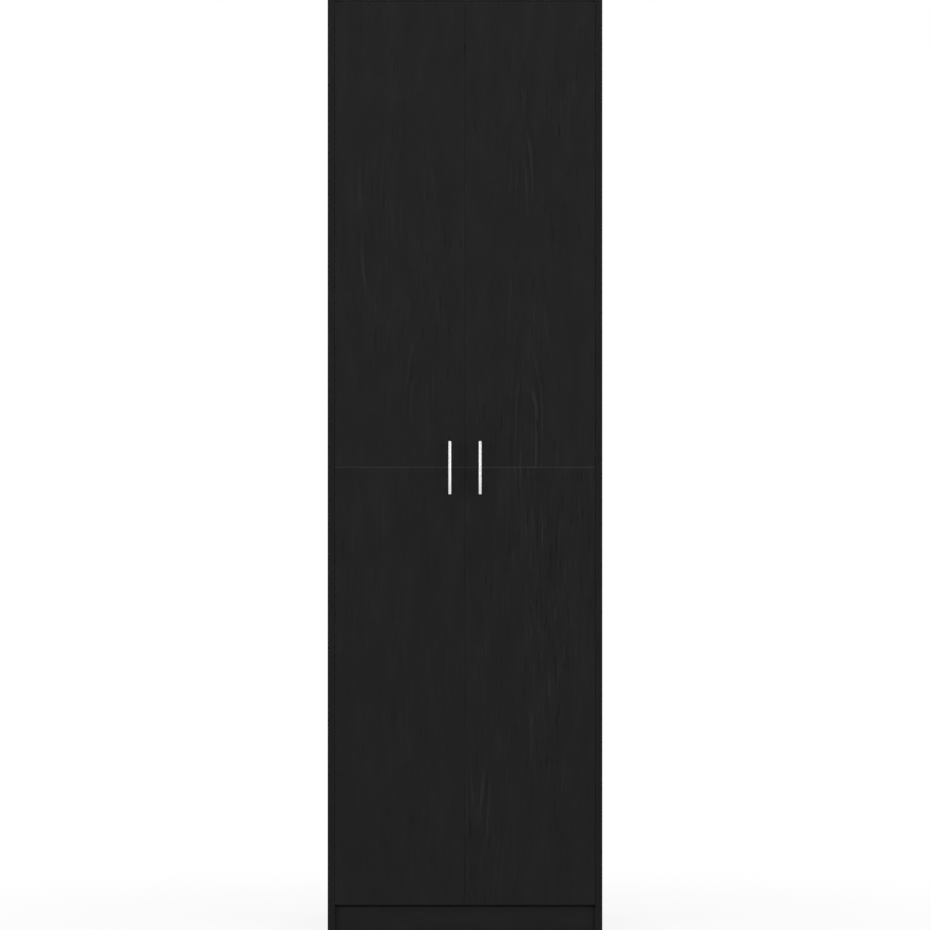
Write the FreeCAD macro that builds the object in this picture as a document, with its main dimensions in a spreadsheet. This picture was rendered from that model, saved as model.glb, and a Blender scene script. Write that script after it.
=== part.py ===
"""Tall two-door wardrobe: a carcass on glides, a hanging rail, and inset doors on invisible hinges.

Millimetres. +Z is up, the doors face -Y and +X is to the right of someone who faces them.
The origin is on the floor, under the middle of the overall box, handles included.
"""
import FreeCAD, Part
import math
import os
import re

import Sketcher
from FreeCAD import Placement, Rotation, Vector

# Driving dimensions, all in millimetres unless the note says otherwise.
SIZES = {
    "width": (600.0, "outside, over the two side panels"),
    "height": (2040.0, "floor to the top of the side panels"),
    "depth": (520.0, "front edge to back edge of a side panel"),
    "board": (15.0, "thickness of the carcass boards"),
    "door_thickness": (15.0, "thickness of a door"),
    "edge_bevel": (0.4, "bevel along the edges that show"),
    "side_gap": (1.2, "between a door and its side panel"),
    "centre_gap": (1.0, "between the two doors"),
    "door_top_reveal": (9.0, "top of a door below the top of the carcass"),
    "door_bottom": (61.0, "bottom of a door above the floor"),
    "door_opening": (95.0, "degrees that a door swings"),
    "groove_height": (1016.0, "line across the doors, above the floor"),
    "groove_width": (2.4, "mouth of the line's V"),
    "groove_depth": (1.2, "depth of the line's V"),
    "bumper_gap": (1.5, "between a closed door and the boards behind it"),
    "bumper_play": (0.1, "between a bumper and the board it stops on"),
    "bumper_side": (5.0, "side of a square felt bumper"),
    "bumper_inset": (24.0, "bumper from the door's free edge"),
    "bottom_clear": (55.0, "underside of the bottom board above the floor"),
    "plinth_set_back": (10.0, "plinth behind the front edges of the sides"),
    "plinth_lift": (0.5, "plinth above the foot of the side panels"),
    "hat_shelf_height": (1700.0, "underside of the fixed shelf above the floor"),
    "low_shelf_height": (400.0, "underside of the adjustable shelf above the floor"),
    "low_shelf_set_back": (20.0, "adjustable shelf behind the fixed boards' front edge"),
    "shelf_play": (1.0, "between the adjustable shelf and each side"),
    "back_thickness": (3.0, "hardboard of the back"),
    "back_play": (0.1, "between the back and each wall of its groove"),
    "back_inset": (10.0, "groove in from the back edge of a side"),
    "back_groove_depth": (6.0, "groove for the back in a side panel"),
    "back_side_play": (0.8, "between the back's edge and the bottom of the groove"),
    "joiner_height": (1040.0, "middle of the strip that joins the two backs"),
    "joiner_flange": (12.0, "height of the joining strip"),
    "joiner_wall": (0.8, "wall of the joining strip"),
    "rail_height": (1640.0, "middle of the hanging rail above the floor"),
    "rail_tall": (30.0, "oval rail, upright size"),
    "rail_wide": (15.0, "oval rail, front-to-back size"),
    "rail_wall": (1.2, "wall of the rail"),
    "rail_play": (0.2, "between the rail and its sockets"),
    "socket_plate_tall": (62.0, "rail socket's plate, upright size"),
    "socket_plate_wide": (24.0, "rail socket's plate, front-to-back size"),
    "socket_plate": (2.5, "thickness of the socket's plate"),
    "socket_cup": (12.0, "how far the socket's cup stands off the side"),
    "socket_wall": (2.2, "wall of the socket's cup"),
    "wood_play": (0.05, "radial play of what is pushed into drilled wood"),
    "peg_diameter": (5.0, "shelf peg in its hole"),
    "peg_bite": (9.0, "shelf peg in the side panel"),
    "peg_hole_depth": (10.0, "depth of a peg hole"),
    "peg_head": (7.0, "how far a peg stands off the side"),
    "peg_inset": (37.0, "peg rows from the front and back of the fixed boards"),
    "glide_height": (2.0, "glide under a side panel"),
    "glide_length": (30.0, "glide along a side panel"),
    "glide_width": (12.0, "glide across a side panel"),
    "glide_inset": (40.0, "glides from the front and back edges of a side"),
    "bracket_off_centre": (140.0, "middle of the wall bracket to the right of the middle"),
    "bracket_width": (40.0, "wall bracket along the back"),
    "bracket_leg": (26.0, "each leg of the wall bracket"),
    "bracket_sheet": (2.0, "sheet of the wall bracket"),
    "bracket_wall_hole": (6.0, "hole for the wall screw"),
    "back_wall_hole": (10.0, "hole through the back for the wall screw"),
    "handle_diameter": (8.0, "round bar of a handle"),
    "handle_length": (117.0, "bar of a handle"),
    "handle_height": (1015.0, "middle of the handles above the floor"),
    "handle_projection": (32.0, "front of a handle from the face of its door"),
    "handle_pair_spacing": (66.0, "between the axes of the two handles"),
    "handle_hole_spacing": (96.0, "between the two posts of a handle"),
    "post_diameter": (6.0, "post that carries a handle's bar"),
    "hinge_inset": (100.0, "first and last hinge from the ends of a door"),
    "barrel_diameter": (12.0, "hinge barrel pushed into the board"),
    "barrel_length": (13.2, "hinge barrel along its axis"),
    "pivot_reach": (10.5, "hinge pin from the middle of the side gap"),
    "pivot_set_back": (3.3, "hinge pin behind the face of the door"),
    "pin_diameter": (1.4, "pin across a barrel's slot"),
    "pin_bite": (1.0, "each end of a pin in the wall of its slot"),
    "pin_play": (0.05, "radial play of a link on its pin"),
    "link_rise": (7.9, "how far an arm bows away from its pin"),
    "link_shoulder": (6.0, "where an arm's bow runs into its straight part"),
    "link_half_width": (1.3, "half the width of an arm"),
    "link_plate": (1.6, "thickness of an arm"),
    "slot_half": (1.9, "half the width of a barrel's slot"),
    "slot_back": (2.0, "a barrel's slot behind its pin"),
    "shoe_offset": (2.4, "arm's shoe from the other barrel's pin, along the barrel"),
    "shoe_half_width": (0.7, "half the width of a shoe across its guide"),
    "shoe_half_arc": (5.0, "degrees, half of the arc that a shoe fills"),
    "shoe_bite": (1.0, "how far a shoe enters its guide"),
    "guide_depth": (1.2, "guide for a shoe, in the wall of a barrel's slot"),
    "guide_play": (0.1, "between a shoe and each side of its guide"),
    "guide_end_play": (1.0, "degrees between a shoe and each end of its guide"),
}

# Dimensions that follow from the driving ones.
DERIVED = {
    "front": "(handle_projection - depth) / 2",
    "inner_half": "width / 2 - board",
    "panel_set_back": "door_thickness + bumper_gap",
    "back_slot": "back_thickness + 2 * back_play",
    "panel_depth": "depth - panel_set_back - back_inset - back_slot",
    "back_face": "front + panel_set_back + panel_depth",
    "door_width": "inner_half - side_gap - centre_gap / 2",
    "door_height": "height - door_top_reveal - door_bottom",
    "plinth_bottom": "glide_height + plinth_lift",
    "plinth_height": "bottom_clear - plinth_bottom",
    "pin_depth": "pivot_reach - side_gap / 2",
    "guide_orbit": "sqrt(shoe_offset ^ 2 + link_rise ^ 2)",
    "shoe_angle": "atan2(link_rise; shoe_offset)",
    "shoe_arc": "shoe_half_arc * 1 deg",
    "guide_slack": "(shoe_half_arc + guide_end_play) * 1 deg",
    "half_turn": "door_opening / 2 * 1 deg",
    "shoe_across": "2 * pivot_reach - shoe_offset",
    "bow_radius": "(link_shoulder ^ 2 + link_rise ^ 2) / (2 * link_rise)",
    "bow_sweep": "90 deg + atan2(link_rise - bow_radius; link_shoulder)",
}

HINGES = 3
SIDEWAYS = Rotation(Vector(0, 1, 0), 90)
TOWARDS_FRONT = Rotation(Vector(1, 0, 0), 90)
TURNED_OVER = Rotation(Vector(0, 1, 0), 180)

doc = FreeCAD.newDocument("wardrobe")
sheet = doc.addObject("Spreadsheet::Sheet", "Sizes")
for row, (alias, (size, note)) in enumerate(SIZES.items(), start=1):
    sheet.set(f"A{row}", alias)
    sheet.set(f"B{row}", str(size))
    sheet.set(f"C{row}", note)
    sheet.setAlias(f"B{row}", alias)
doc.recompute()

pockets = []
subparts = {}


# ---------------------------------------------------------------- helpers

def bound(formula):
    """Turn a formula in plain words into an expression on the sheet's cells."""
    def cell(match):
        word = match.group()
        if word in DERIVED:
            return "(" + bound(DERIVED[word]) + ")"
        return "Sizes." + word if word in SIZES else word
    return re.sub(r"[a-z_]+", cell, formula)


def hinge_height(number):
    """Height of a hinge above the floor, counted from the bottom of the door."""
    return f"door_bottom + hinge_inset + {number} * (door_height - 2 * hinge_inset) / {HINGES - 1}"


def place(item, x, y, z, rotation=None):
    if rotation is not None:
        item.Placement = Placement(Vector(), rotation)
    for axis, formula in zip("xyz", (x, y, z)):
        item.setExpression("Placement.Base." + axis, bound(formula))
    return item


def keep(item, label):
    """Name a finished sub-part, which is written to its own file."""
    item.Label = label
    subparts[label] = item
    return item


def body_at(name, x, y, z):
    return place(doc.addObject("PartDesign::Body", name), x, y, z)


def sketch_on(body, role, offset="0"):
    """Sketch on one of the body's own origin planes, moved along its normal."""
    plane = next(item for item in body.Origin.OriginFeatures if item.Role == role)
    sketch = body.newObject("Sketcher::SketchObject", "Sketch")
    sketch.AttachmentSupport = (plane, [""])
    sketch.MapMode = "FlatFace"
    sketch.setExpression("AttachmentOffset.Base.z", bound(offset))
    return sketch


def dimension(sketch, kind, where, formula):
    """Add one dimension to a sketch, bound to a formula."""
    expression = bound(formula)
    size = float(sheet.evalExpression(expression))
    index = sketch.addConstraint(Sketcher.Constraint(kind, *where, size))
    sketch.renameConstraint(index, f"size{index}")
    sketch.setExpression(f"Constraints.size{index}", expression)


def draw_lines(sketch, points):
    """Draw a closed run of lines and return the number of the first one."""
    first = sketch.GeometryCount
    ends = points[1:] + points[:1]
    for start, end in zip(points, ends):
        sketch.addGeometry(Part.LineSegment(Vector(*start, 0), Vector(*end, 0)), False)
    count = len(points)
    for step in range(count):
        following = first + (step + 1) % count
        sketch.addConstraint(Sketcher.Constraint("Coincident", first + step, 2, following, 1))
    return first


def draw_rectangle(sketch, left, low, wide, tall):
    first = draw_lines(sketch, [(1, 1), (9, 1), (9, 9), (1, 9)])
    for line, direction in enumerate(("Horizontal", "Vertical", "Horizontal", "Vertical")):
        sketch.addConstraint(Sketcher.Constraint(direction, first + line))
    dimension(sketch, "DistanceX", (-1, 1, first, 1), left)
    dimension(sketch, "DistanceY", (-1, 1, first, 1), low)
    dimension(sketch, "DistanceX", (first, 1, first, 2), wide)
    dimension(sketch, "DistanceY", (first + 1, 1, first + 1, 2), tall)


def draw_circles(sketch, centres, diameter):
    first = sketch.GeometryCount
    for step, (across, up) in enumerate(centres):
        circle = Part.Circle(Vector(5 + 10 * step, 5, 0), Vector(0, 0, 1), 1)
        number = sketch.addGeometry(circle, False)
        if number == first:
            dimension(sketch, "Diameter", (number,), diameter)
        else:
            sketch.addConstraint(Sketcher.Constraint("Equal", first, number))
        dimension(sketch, "DistanceX", (-1, 1, number, 3), across)
        dimension(sketch, "DistanceY", (-1, 1, number, 3), up)


def draw_oval(sketch, wide, tall):
    """Draw an upright oval, straight at its sides and round at its ends, about the origin."""
    radius = float(sheet.evalExpression(bound(f"({wide}) / 2")))
    rise = float(sheet.evalExpression(bound(f"({tall}) / 2"))) - radius
    axis = Vector(0, 0, 1)
    caps = []
    for height, start in ((rise, 0), (-rise, math.pi)):
        circle = Part.Circle(Vector(0, height, 0), axis, radius)
        caps.append(sketch.addGeometry(Part.ArcOfCircle(circle, start, start + math.pi), False))
    upper, lower = caps
    left, right = [
        sketch.addGeometry(Part.LineSegment(Vector(x, y, 0), Vector(x, -y, 0)), False)
        for x, y in ((-radius, rise), (radius, -rise))
    ]
    for pair in ((upper, 2, left, 1), (left, 2, lower, 1), (lower, 2, right, 1), (right, 2, upper, 1)):
        sketch.addConstraint(Sketcher.Constraint("Tangent", *pair))
    for cap in caps:
        sketch.addConstraint(Sketcher.Constraint("PointOnObject", cap, 3, -2))
    dimension(sketch, "Radius", (upper,), f"({wide}) / 2")
    dimension(sketch, "DistanceY", (-1, 1, upper, 3), f"(({tall}) - ({wide})) / 2")
    dimension(sketch, "DistanceY", (lower, 3, -1, 1), f"(({tall}) - ({wide})) / 2")


def pad(body, sketch, length, against_normal=False):
    feature = body.newObject("PartDesign::Pad", "Pad")
    feature.Profile = sketch
    feature.Reversed = against_normal
    feature.setExpression("Length", bound(length))
    return feature


def pocket(body, sketch, deep, with_normal):
    feature = body.newObject("PartDesign::Pocket", "Pocket")
    feature.Profile = sketch
    feature.Reversed = with_normal
    feature.setExpression("Length", bound(deep))
    pockets.append(feature)
    return feature


def drill(body, role, offset, with_normal, centres, diameter, deep):
    """Drill equal round holes from a plane of the body."""
    sketch = sketch_on(body, role, offset)
    draw_circles(sketch, centres, diameter)
    return pocket(body, sketch, deep, with_normal)


def board_body(name, at, role, wide, tall, thick):
    """Saw a board: its face lies in the given plane and it thickens towards +X, +Y or +Z."""
    body = body_at(name, *at)
    sketch = sketch_on(body, role)
    draw_rectangle(sketch, "0", "0", wide, tall)
    pad(body, sketch, thick, against_normal=role == "XZ_Plane")
    return body


def bevel_face(body, normal, amount):
    """Bevel all edges of the face of the body's last feature that looks along normal."""
    doc.recompute()
    feature = body.Tip
    faces = feature.Shape.Faces
    looking = [n for n, face in enumerate(faces, 1) if face.normalAt(0, 0).dot(normal) > 0.99]
    number = max(looking, key=lambda n: faces[n - 1].CenterOfMass.dot(normal))
    chamfer = body.newObject("PartDesign::Chamfer", "Chamfer")
    chamfer.Base = (feature, [f"Face{number}"])
    chamfer.setExpression("Size", bound(amount))
    return chamfer


def rod(name, diameter, length, at, rotation=None):
    item = doc.addObject("Part::Cylinder", name)
    item.setExpression("Radius", bound(f"({diameter}) / 2"))
    item.setExpression("Height", bound(length))
    return place(item, *at, rotation)


def clipped_end(name, half_width, thick, at, facing):
    """Eight-sided end of a strap, whose flats are half_width from its middle, one of them facing so."""
    item = doc.addObject("Part::Prism", name)
    item.Polygon = 8
    item.setExpression("Circumradius", bound(f"({half_width}) / cos(22.5 deg)"))
    item.setExpression("Height", bound(thick))
    place(item, *at, Rotation(Vector(0, 0, 1), 10))
    item.setExpression("Placement.Rotation.Angle", bound(f"{facing} - 22.5 deg"))
    return item


def block(name, length, wide, tall, at):
    item = doc.addObject("Part::Box", name)
    item.setExpression("Length", bound(length))
    item.setExpression("Width", bound(wide))
    item.setExpression("Height", bound(tall))
    return place(item, *at)


def sector(name, radius, thick, at, start, sweep):
    """Slice of a cylinder about an upright axis, from one angle through another."""
    item = rod(name, f"2 * ({radius})", thick, at, Rotation(Vector(0, 0, 1), 10))
    item.setExpression("Placement.Rotation.Angle", bound(start))
    item.setExpression("Angle", bound(sweep))
    return item


def ring_sector(name, radius, half_width, thick, at, start, sweep):
    """Slice of a ring, so wide on each side of its middle radius."""
    outer = sector(name + "_outer", f"{radius} + ({half_width})", thick, at, start, sweep)
    inner = sector(name + "_inner", f"{radius} - ({half_width})", thick, at, start, sweep)
    return cut(name, outer, inner)


def fuse(name, shapes):
    item = doc.addObject("Part::MultiFuse", name)
    item.Shapes = shapes
    item.Refine = True
    return item


def fuse_one(name, shape):
    """Hold one primitive as a template, so that its own place stays part of its shape."""
    item = doc.addObject("Part::Compound", name)
    item.Links = [shape]
    return item


def cut(name, base, tool):
    item = doc.addObject("Part::Cut", name)
    item.Base = base
    item.Tool = tool
    return item


def linked_copies(template, places):
    """Copies of one piece, each at its own place and turned its own way."""
    links = []
    for place_of_copy in places:
        link = doc.addObject("App::Link", template.Name + "_copy")
        link.LinkedObject = template
        links.append(place(link, *place_of_copy))
    return links


def gather(label, pieces):
    item = doc.addObject("Part::Compound", label)
    item.Links = pieces
    return keep(item, label)


def copies(label, template, places):
    """Gather copies of one piece into one sub-part."""
    return gather(label, linked_copies(template, places))


def mirror(label, source):
    """Make the right-hand twin of a left-hand sub-part."""
    item = doc.addObject("Part::Mirroring", label)
    item.Source = source
    item.Normal = Vector(1, 0, 0)
    return keep(item, label)


def both_sides(label, template, places):
    """Gather copies on the left and their twins on the right into one sub-part."""
    left = doc.addObject("Part::Compound", label + "_left")
    left.Links = linked_copies(template, places)
    right = doc.addObject("Part::Mirroring", label + "_right")
    right.Source = left
    right.Normal = Vector(1, 0, 0)
    return gather(label, [left, right])


# ---------------------------------------------------------------- carcass boards

FIXED_BOARDS = {
    "bottom_panel": "bottom_clear",
    "hat_shelf": "hat_shelf_height",
    "top_panel": "height - board",
}
PEG_DEPTHS = [f"panel_set_back + {inset}" for inset in ("peg_inset", "panel_depth - peg_inset")]
PEG_HEIGHT = "low_shelf_height - peg_diameter / 2"


def side_panel():
    """Side panel, drilled on its inner face for hinges and pegs and grooved for the back."""
    body = board_body("side_board", ("-width / 2", "front", "glide_height"), "YZ_Plane",
                      "depth", "height - glide_height", "board")
    bevel_face(body, Vector(0, -1, 0), "edge_bevel")

    hinges = [("door_thickness / 2", f"{hinge_height(number)} - glide_height")
              for number in range(HINGES)]
    drill(body, "YZ_Plane", "board", False, hinges, "barrel_diameter + 2 * wood_play",
          "barrel_length + wood_play")
    pegs = [(depth, f"{PEG_HEIGHT} - glide_height") for depth in PEG_DEPTHS]
    drill(body, "YZ_Plane", "board", False, pegs, "peg_diameter + 2 * wood_play", "peg_hole_depth")

    groove = sketch_on(body, "YZ_Plane", "board")
    draw_rectangle(groove, "depth - back_inset - back_slot", "0", "back_slot", "height - glide_height")
    pocket(body, groove, "back_groove_depth", with_normal=False)
    return keep(body, "left_side_panel")


def fixed_boards():
    """Boards that join the sides at the bottom, over the hanging space and at the top."""
    for label, underside in FIXED_BOARDS.items():
        keep(board_body(label, ("-inner_half", "front + panel_set_back", underside), "XY_Plane",
                        "2 * inner_half", "panel_depth", "board"), label)


def plinth_board():
    """Board that closes the gap to the floor."""
    body = board_body("plinth", ("-inner_half", "front + plinth_set_back", "plinth_bottom"),
                      "XZ_Plane", "2 * inner_half", "plinth_height", "board")
    return keep(body, "plinth_board")


def adjustable_shelf():
    width_of_shelf = "2 * (inner_half - shelf_play)"
    body = board_body("loose_shelf", ("-inner_half + shelf_play",
                      "front + panel_set_back + low_shelf_set_back", "low_shelf_height"),
                      "XY_Plane", width_of_shelf, "panel_depth - low_shelf_set_back", "board")
    return keep(body, "adjustable_shelf")


def back_panels():
    """Two hardboard backs in the side panels' grooves, and the strip that joins them."""
    half = "(inner_half + back_groove_depth - back_side_play)"
    halves = {
        "back_panel_lower": ("bottom_clear", "joiner_height - joiner_wall / 2"),
        "back_panel_upper": ("joiner_height + joiner_wall / 2", "height"),
    }
    for label, (bottom, top) in halves.items():
        body = board_body(label, (f"-{half}", "back_face + back_play", bottom), "XZ_Plane",
                          f"2 * {half}", f"({top}) - ({bottom})", "back_thickness")
        if label == "back_panel_upper":
            hole_up = f"height - board - bracket_leg / 2 - ({bottom})"
            drill(body, "XZ_Plane", "0", False, [(f"{half} + bracket_off_centre", hole_up)],
                  "back_wall_hole", "back_thickness")
        keep(body, label)

    low = "joiner_height - joiner_flange / 2"
    flanges = [block("joiner_flange", "2 * inner_half", "joiner_wall", "joiner_flange",
                     ("-inner_half", depth, low))
               for depth in ("back_face - joiner_wall", "back_face + back_slot")]
    web = block("joiner_web", "2 * inner_half", "back_slot", "joiner_wall",
                ("-inner_half", "back_face", "joiner_height - joiner_wall / 2"))
    keep(fuse("joiner", flanges + [web]), "back_joiner")


left_side = side_panel()
mirror("right_side_panel", left_side)
fixed_boards()
plinth_board()
adjustable_shelf()
back_panels()


# ---------------------------------------------------------------- carcass fittings

def hanging_rail():
    body = body_at("rail", "-inner_half + socket_plate", "front + depth / 2", "rail_height")
    sketch = sketch_on(body, "YZ_Plane")
    draw_oval(sketch, "rail_wide", "rail_tall")
    draw_oval(sketch, "rail_wide - 2 * rail_wall", "rail_tall - 2 * rail_wall")
    pad(body, sketch, "2 * (inner_half - socket_plate)")
    return keep(body, "hanging_rail")


def rail_socket():
    """Plate on the side panel with an oval cup that holds the end of the rail."""
    body = body_at("rail_socket", "0", "0", "0")
    plate = sketch_on(body, "YZ_Plane")
    draw_rectangle(plate, "-socket_plate_wide / 2", "-socket_plate_tall / 2", "socket_plate_wide",
                   "socket_plate_tall")
    pad(body, plate, "socket_plate")
    cup = sketch_on(body, "YZ_Plane")
    around = "2 * (rail_play + socket_wall)"
    draw_oval(cup, f"rail_wide + {around}", f"rail_tall + {around}")
    pad(body, cup, "socket_cup")
    hollow = sketch_on(body, "YZ_Plane", "socket_cup")
    draw_oval(hollow, "rail_wide + 2 * rail_play", "rail_tall + 2 * rail_play")
    pocket(body, hollow, "socket_cup - socket_plate", with_normal=False)
    return body


def wall_bracket():
    """Angle under the top board, with a hole for a screw into the wall."""
    body = body_at("bracket", "bracket_off_centre - bracket_width / 2", "back_face - bracket_leg",
                   "height - board - bracket_leg")
    lying = sketch_on(body, "XY_Plane", "bracket_leg - bracket_sheet")
    draw_rectangle(lying, "0", "0", "bracket_width", "bracket_leg")
    pad(body, lying, "bracket_sheet")
    standing = sketch_on(body, "XZ_Plane", "-bracket_leg")
    draw_rectangle(standing, "0", "0", "bracket_width", "bracket_leg")
    pad(body, standing, "bracket_sheet")
    drill(body, "XZ_Plane", "bracket_sheet - bracket_leg", False,
          [("bracket_width / 2", "bracket_leg / 2")], "bracket_wall_hole", "bracket_sheet")
    return keep(body, "wall_bracket")


def carcass_fittings():
    peg = rod("peg_rod", "peg_diameter", "peg_bite + peg_head", ("-peg_bite", "0", "0"), SIDEWAYS)
    both_sides("shelf_pegs", fuse_one("peg", peg),
               [("-inner_half", f"front + {depth}", PEG_HEIGHT) for depth in PEG_DEPTHS])

    pad_at = ("-glide_width / 2", "-glide_length / 2", "0")
    glide = block("glide_pad", "glide_width", "glide_length", "glide_height", pad_at)
    both_sides("floor_glides", fuse_one("glide", glide),
               [("(board - width) / 2", f"front + {inset}", "0")
                for inset in ("glide_inset", "depth - glide_inset")])

    hanging_rail()
    both_sides("rail_sockets", rail_socket(), [("-inner_half", "front + depth / 2", "rail_height")])
    wall_bracket()


carcass_fittings()


# ---------------------------------------------------------------- doors

HANDLE_POSTS = ("handle_height - handle_hole_spacing / 2", "handle_height + handle_hole_spacing / 2")


def door():
    """Left door: bored in its hinge edge, with a V line across its face."""
    body = board_body("door_board", ("-inner_half + side_gap", "front", "door_bottom"), "XZ_Plane",
                      "door_width", "door_height", "door_thickness")
    bevel_face(body, Vector(0, -1, 0), "edge_bevel")
    bevel_face(body, Vector(0, 1, 0), "edge_bevel")
    hinges = [("door_thickness / 2", f"{hinge_height(number)} - door_bottom")
              for number in range(HINGES)]
    drill(body, "YZ_Plane", "0", True, hinges, "barrel_diameter + 2 * wood_play",
          "barrel_length + wood_play")

    line = sketch_on(body, "YZ_Plane")
    first = draw_lines(line, [(0, 10), (0, 20), (5, 15)])
    line.addConstraint(Sketcher.Constraint("PointOnObject", first, 1, -2))
    line.addConstraint(Sketcher.Constraint("Vertical", first))
    middle = "groove_height - door_bottom"
    dimension(line, "DistanceY", (-1, 1, first, 1), f"{middle} - groove_width / 2")
    dimension(line, "DistanceY", (first, 1, first, 2), "groove_width")
    dimension(line, "DistanceY", (-1, 1, first + 1, 2), middle)
    dimension(line, "DistanceX", (-1, 1, first + 1, 2), "groove_depth")
    pocket(body, line, "door_width", with_normal=True)
    return keep(body, "left_door_panel")


def handle_bar():
    body = body_at("bar", "-handle_pair_spacing / 2",
                   "front + handle_diameter / 2 - handle_projection",
                   "handle_height - handle_length / 2")
    sketch = sketch_on(body, "XY_Plane")
    draw_circles(sketch, [("0", "0")], "handle_diameter")
    pad(body, sketch, "handle_length")
    return keep(body, "left_handle_bar")


def handle_post():
    """Post from the door's face to the bar, hollowed to seat the bar."""
    to_axis = "handle_projection - handle_diameter / 2"
    post = rod("post", "post_diameter", to_axis, ("0", "0", "0"), TOWARDS_FRONT)
    seat = rod("post_seat", "handle_diameter", "4 * handle_diameter",
               ("0", f"-({to_axis})", "-2 * handle_diameter"))
    return cut("handle_post", post, seat)


def bumper():
    """Square of felt on the back of a door, about the door's face."""
    pad_at = ("-bumper_side / 2", "door_thickness", "-bumper_side / 2")
    felt = block("bumper_pad", "bumper_side", "bumper_gap - bumper_play", "bumper_side", pad_at)
    return fuse_one("bumper", felt)


def left_door():
    """Everything that swings with the left door, but for its half of the hinges."""
    post_places = [("-handle_pair_spacing / 2", "front", up) for up in HANDLE_POSTS]
    bumper_places = [
        ("-centre_gap / 2 - bumper_inset", "front", "(door_bottom + bottom_clear + board) / 2"),
        ("-centre_gap / 2 - bumper_inset", "front", "height - (board + door_top_reveal) / 2"),
    ]
    return {
        "door_panel": door(),
        "handle_bar": handle_bar(),
        "handle_posts": copies("left_handle_posts", handle_post(), post_places),
        "door_bumpers": copies("left_door_bumpers", bumper(), bumper_places),
    }


# ---------------------------------------------------------------- invisible hinges
#
# A hinge has a barrel in the side panel and a like one in the door's edge, each with a pin across
# its slot. A cross link joins them: it has two bowed arms, one over the other, and each turns on
# the pin of its own barrel, while a shoe at its far end runs in an arc guide in the other barrel.
# So the link turns by half of the door's swing, and the door by the other half on the link.
# The door's half is the side's half turned over about the line midway in the gap.
# Below, the origin is on the side panel's inner face, level with the door's face.

SIDE_PIN = ("-pin_depth", "pivot_set_back")


def hinge_barrel():
    """Slotted barrel with its pin and, below the slot, the guide for the other arm's shoe."""
    barrel = rod("barrel_rod", "barrel_diameter", "barrel_length",
                 ("-barrel_length", "door_thickness / 2", "0"), SIDEWAYS)
    slot = block("barrel_slot", "pin_depth + slot_back", "door_thickness", "2 * slot_half",
                 ("-pin_depth - slot_back", "0", "-slot_half"))
    guide = ring_sector("barrel_guide", "guide_orbit", "shoe_half_width + guide_play",
                        "slot_half + guide_depth", (*SIDE_PIN, "-slot_half - guide_depth"),
                        "shoe_angle - half_turn - guide_slack", "half_turn + 2 * guide_slack")
    slotted = cut("slotted_barrel", barrel, fuse("barrel_cuts", [slot, guide]))
    pin = rod("barrel_pin", "pin_diameter", "2 * (slot_half + pin_bite)",
              (*SIDE_PIN, "-slot_half - pin_bite"))
    return fuse("hinge_barrel", [slotted, pin])


def link_arm():
    """Arm of a cross link: a clipped end with its pin's hole, a bow and a straight part."""
    eye = clipped_end("arm_eye", "link_half_width", "link_plate", (*SIDE_PIN, "0"), "bow_sweep + 90 deg")
    bow = ring_sector("arm_bow", "bow_radius", "link_half_width", "link_plate",
                      ("link_shoulder - pin_depth", "pivot_set_back + link_rise - bow_radius", "0"),
                      "90 deg", "bow_sweep")
    straight = block("arm_straight", "shoe_across + link_half_width - link_shoulder",
                     "2 * link_half_width", "link_plate",
                     ("link_shoulder - pin_depth", "pivot_set_back + link_rise - link_half_width", "0"))
    hole = rod("arm_hole", "pin_diameter + 2 * pin_play", "link_plate", (*SIDE_PIN, "0"))
    return cut("link_arm", fuse("arm_blank", [eye, bow, straight]), hole)


def cross_link():
    """Two arms, one turned over under the other, each with its shoe in the other's barrel."""
    shoe = ring_sector("guide_shoe", "guide_orbit", "shoe_half_width", "slot_half + shoe_bite",
                       (*SIDE_PIN, "-slot_half - shoe_bite"), "shoe_angle - shoe_arc", "2 * shoe_arc")
    halves = [("0", "0", "0"), ("side_gap", "0", "0", TURNED_OVER)]
    arms = linked_copies(link_arm(), halves)
    shoes = linked_copies(shoe, halves)
    return fuse("cross_link", arms + shoes)


def left_hinges():
    """Both halves of the left door's hinges and the links between them."""
    heights = [hinge_height(number) for number in range(HINGES)]
    side_half = [("-inner_half", "front", height) for height in heights]
    door_half = [("side_gap - inner_half", "front", height, TURNED_OVER) for height in heights]
    barrel = hinge_barrel()
    return {
        "side_barrels": copies("left_side_barrels", barrel, side_half),
        "door_barrels": copies("left_door_barrels", barrel, door_half),
        "cross_links": copies("left_cross_links", cross_link(), side_half),
    }


for name, piece in {**left_door(), **left_hinges()}.items():
    mirror(f"right_{name}", piece)


# ---------------------------------------------------------------- checks and export

def check_model():
    for item in doc.Objects:
        if {"Invalid", "Error"} & set(item.State):
            raise RuntimeError(f"{item.Label} failed: {item.State}")
    for feature in pockets:
        if feature.Shape.Volume >= feature.BaseFeature.Shape.Volume - 0.01:
            raise RuntimeError(f"{feature.Label} of {feature.getParent().Label} cuts nothing")
    for label, item in subparts.items():
        shape = item.Shape
        if shape.isNull() or not shape.isValid() or not shape.Solids:
            raise RuntimeError(f"{label} has no valid shape")


doc.recompute()
check_model()
os.makedirs("parts", exist_ok=True)
for label, item in subparts.items():
    item.Shape.exportStep(f"parts/{label}.step")
print(len(subparts), "sub-parts written")
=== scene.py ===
"""Looks of the wardrobe: black ash decor boards, satin nickel handles and the fittings inside.

Everything is in metres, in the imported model's own frame: +Z up, the doors face -Y.
"""

import math

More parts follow.
